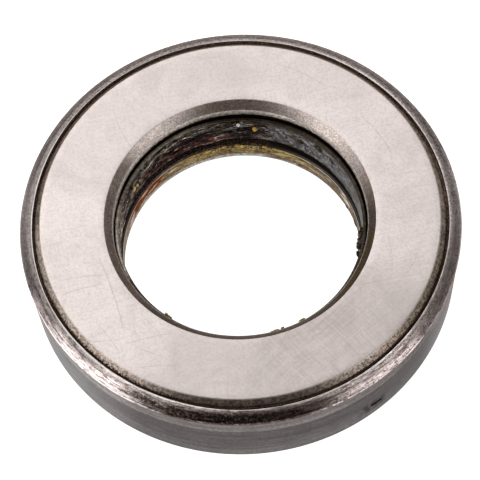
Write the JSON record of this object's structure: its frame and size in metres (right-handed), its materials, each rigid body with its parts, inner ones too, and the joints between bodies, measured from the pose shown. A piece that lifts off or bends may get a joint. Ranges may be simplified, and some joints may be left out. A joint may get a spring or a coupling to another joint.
{
  "type": "thrust ball bearing",
  "caption": "Banded thrust ball bearing: two grooved races and a caged ring of balls, held together by a rolled steel shell.",
  "frame": {"origin": "centre of the base face, on the bearing axis", "axes": "+Z along the bearing axis, from the base face towards the rotating thrust face"},
  "size_m": [0.0826, 0.0826, 0.0191],
  "materials": {
    "ground_steel": "fine cross-ground",
    "turned_steel": "turned, filmed with old grease",
    "shell_steel": "drawn and rolled, dull",
    "cage_steel": "pressed sheet, oily",
    "ball_steel": "polished"
  },
  "bodies": {
    "root": {"lower_race": "turned_steel", "outer_shell": "shell_steel"},
    "rotor": {"upper_race": "ground_steel"},
    "cage": {"cage": "cage_steel"},
    "ball_01": {"ball_01": "ball_steel"},
    "ball_02": {"ball_02": "ball_steel"},
    "ball_03": {"ball_03": "ball_steel"},
    "ball_04": {"ball_04": "ball_steel"},
    "ball_05": {"ball_05": "ball_steel"},
    "ball_06": {"ball_06": "ball_steel"},
    "ball_07": {"ball_07": "ball_steel"},
    "ball_08": {"ball_08": "ball_steel"},
    "ball_09": {"ball_09": "ball_steel"},
    "ball_10": {"ball_10": "ball_steel"},
    "ball_11": {"ball_11": "ball_steel"},
    "ball_12": {"ball_12": "ball_steel"},
    "ball_13": {"ball_13": "ball_steel"},
    "ball_14": {"ball_14": "ball_steel"},
    "ball_15": {"ball_15": "ball_steel"},
    "ball_16": {"ball_16": "ball_steel"},
    "ball_17": {"ball_17": "ball_steel"},
    "ball_18": {"ball_18": "ball_steel"}
  },
  "joints": [
    {"name": "race_spin", "type": "hinge", "parent": "root", "child": "rotor", "pos_m": [0, 0, 0.00953], "axis": [0, 0, 1], "continuous": true},
    {"name": "cage_orbit", "type": "hinge", "parent": "root", "child": "cage", "pos_m": [0, 0, 0.00953], "axis": [0, 0, 1], "continuous": true},
    {"name": "ball_01_roll", "type": "hinge", "parent": "cage", "child": "ball_01", "pos_m": [0.03175, 0, 0.00953], "axis": [1, 0, 0], "continuous": true},
    {"name": "ball_02_roll", "type": "hinge", "parent": "cage", "child": "ball_02", "pos_m": [0.02984, 0.01086, 0.00953], "axis": [0.9397, 0.342, 0], "continuous": true},
    {"name": "ball_03_roll", "type": "hinge", "parent": "cage", "child": "ball_03", "pos_m": [0.02432, 0.02041, 0.00953], "axis": [0.766, 0.6428, 0], "continuous": true},
    {"name": "ball_04_roll", "type": "hinge", "parent": "cage", "child": "ball_04", "pos_m": [0.01588, 0.0275, 0.00953], "axis": [0.5, 0.866, 0], "continuous": true},
    {"name": "ball_05_roll", "type": "hinge", "parent": "cage", "child": "ball_05", "pos_m": [0.00551, 0.03127, 0.00953], "axis": [0.1736, 0.9848, 0], "continuous": true},
    {"name": "ball_06_roll", "type": "hinge", "parent": "cage", "child": "ball_06", "pos_m": [-0.00551, 0.03127, 0.00953], "axis": [-0.1736, 0.9848, 0], "continuous": true},
    {"name": "ball_07_roll", "type": "hinge", "parent": "cage", "child": "ball_07", "pos_m": [-0.01588, 0.0275, 0.00953], "axis": [-0.5, 0.866, 0], "continuous": true},
    {"name": "ball_08_roll", "type": "hinge", "parent": "cage", "child": "ball_08", "pos_m": [-0.02432, 0.02041, 0.00953], "axis": [-0.766, 0.6428, 0], "continuous": true},
    {"name": "ball_09_roll", "type": "hinge", "parent": "cage", "child": "ball_09", "pos_m": [-0.02984, 0.01086, 0.00953], "axis": [-0.9397, 0.342, 0], "continuous": true},
    {"name": "ball_10_roll", "type": "hinge", "parent": "cage", "child": "ball_10", "pos_m": [-0.03175, 0, 0.00953], "axis": [-1, 0, 0], "continuous": true},
    {"name": "ball_11_roll", "type": "hinge", "parent": "cage", "child": "ball_11", "pos_m": [-0.02984, -0.01086, 0.00953], "axis": [-0.9397, -0.342, 0], "continuous": true},
    {"name": "ball_12_roll", "type": "hinge", "parent": "cage", "child": "ball_12", "pos_m": [-0.02432, -0.02041, 0.00953], "axis": [-0.766, -0.6428, 0], "continuous": true},
    {"name": "ball_13_roll", "type": "hinge", "parent": "cage", "child": "ball_13", "pos_m": [-0.01588, -0.0275, 0.00953], "axis": [-0.5, -0.866, 0], "continuous": true},
    {"name": "ball_14_roll", "type": "hinge", "parent": "cage", "child": "ball_14", "pos_m": [-0.00551, -0.03127, 0.00953], "axis": [-0.1736, -0.9848, 0], "continuous": true},
    {"name": "ball_15_roll", "type": "hinge", "parent": "cage", "child": "ball_15", "pos_m": [0.00551, -0.03127, 0.00953], "axis": [0.1736, -0.9848, 0], "continuous": true},
    {"name": "ball_16_roll", "type": "hinge", "parent": "cage", "child": "ball_16", "pos_m": [0.01588, -0.0275, 0.00953], "axis": [0.5, -0.866, 0], "continuous": true},
    {"name": "ball_17_roll", "type": "hinge", "parent": "cage", "child": "ball_17", "pos_m": [0.02432, -0.02041, 0.00953], "axis": [0.766, -0.6428, 0], "continuous": true},
    {"name": "ball_18_roll", "type": "hinge", "parent": "cage", "child": "ball_18", "pos_m": [0.02984, -0.01086, 0.00953], "axis": [0.9397, -0.342, 0], "continuous": true}
  ],
  "couplings": [
    {"joint": "cage_orbit", "follows": "race_spin", "ratio": 0.5},
    {"joint": "ball_01_roll", "follows": "race_spin", "ratio": -3.3333},
    {"joint": "ball_02_roll", "follows": "race_spin", "ratio": -3.3333},
    {"joint": "ball_03_roll", "follows": "race_spin", "ratio": -3.3333},
    {"joint": "ball_04_roll", "follows": "race_spin", "ratio": -3.3333},
    {"joint": "ball_05_roll", "follows": "race_spin", "ratio": -3.3333},
    {"joint": "ball_06_roll", "follows": "race_spin", "ratio": -3.3333},
    {"joint": "ball_07_roll", "follows": "race_spin", "ratio": -3.3333},
    {"joint": "ball_08_roll", "follows": "race_spin", "ratio": -3.3333},
    {"joint": "ball_09_roll", "follows": "race_spin", "ratio": -3.3333},
    {"joint": "ball_10_roll", "follows": "race_spin", "ratio": -3.3333},
    {"joint": "ball_11_roll", "follows": "race_spin", "ratio": -3.3333},
    {"joint": "ball_12_roll", "follows": "race_spin", "ratio": -3.3333},
    {"joint": "ball_13_roll", "follows": "race_spin", "ratio": -3.3333},
    {"joint": "ball_14_roll", "follows": "race_spin", "ratio": -3.3333},
    {"joint": "ball_15_roll", "follows": "race_spin", "ratio": -3.3333},
    {"joint": "ball_16_roll", "follows": "race_spin", "ratio": -3.3333},
    {"joint": "ball_17_roll", "follows": "race_spin", "ratio": -3.3333},
    {"joint": "ball_18_roll", "follows": "race_spin", "ratio": -3.3333}
  ]
}
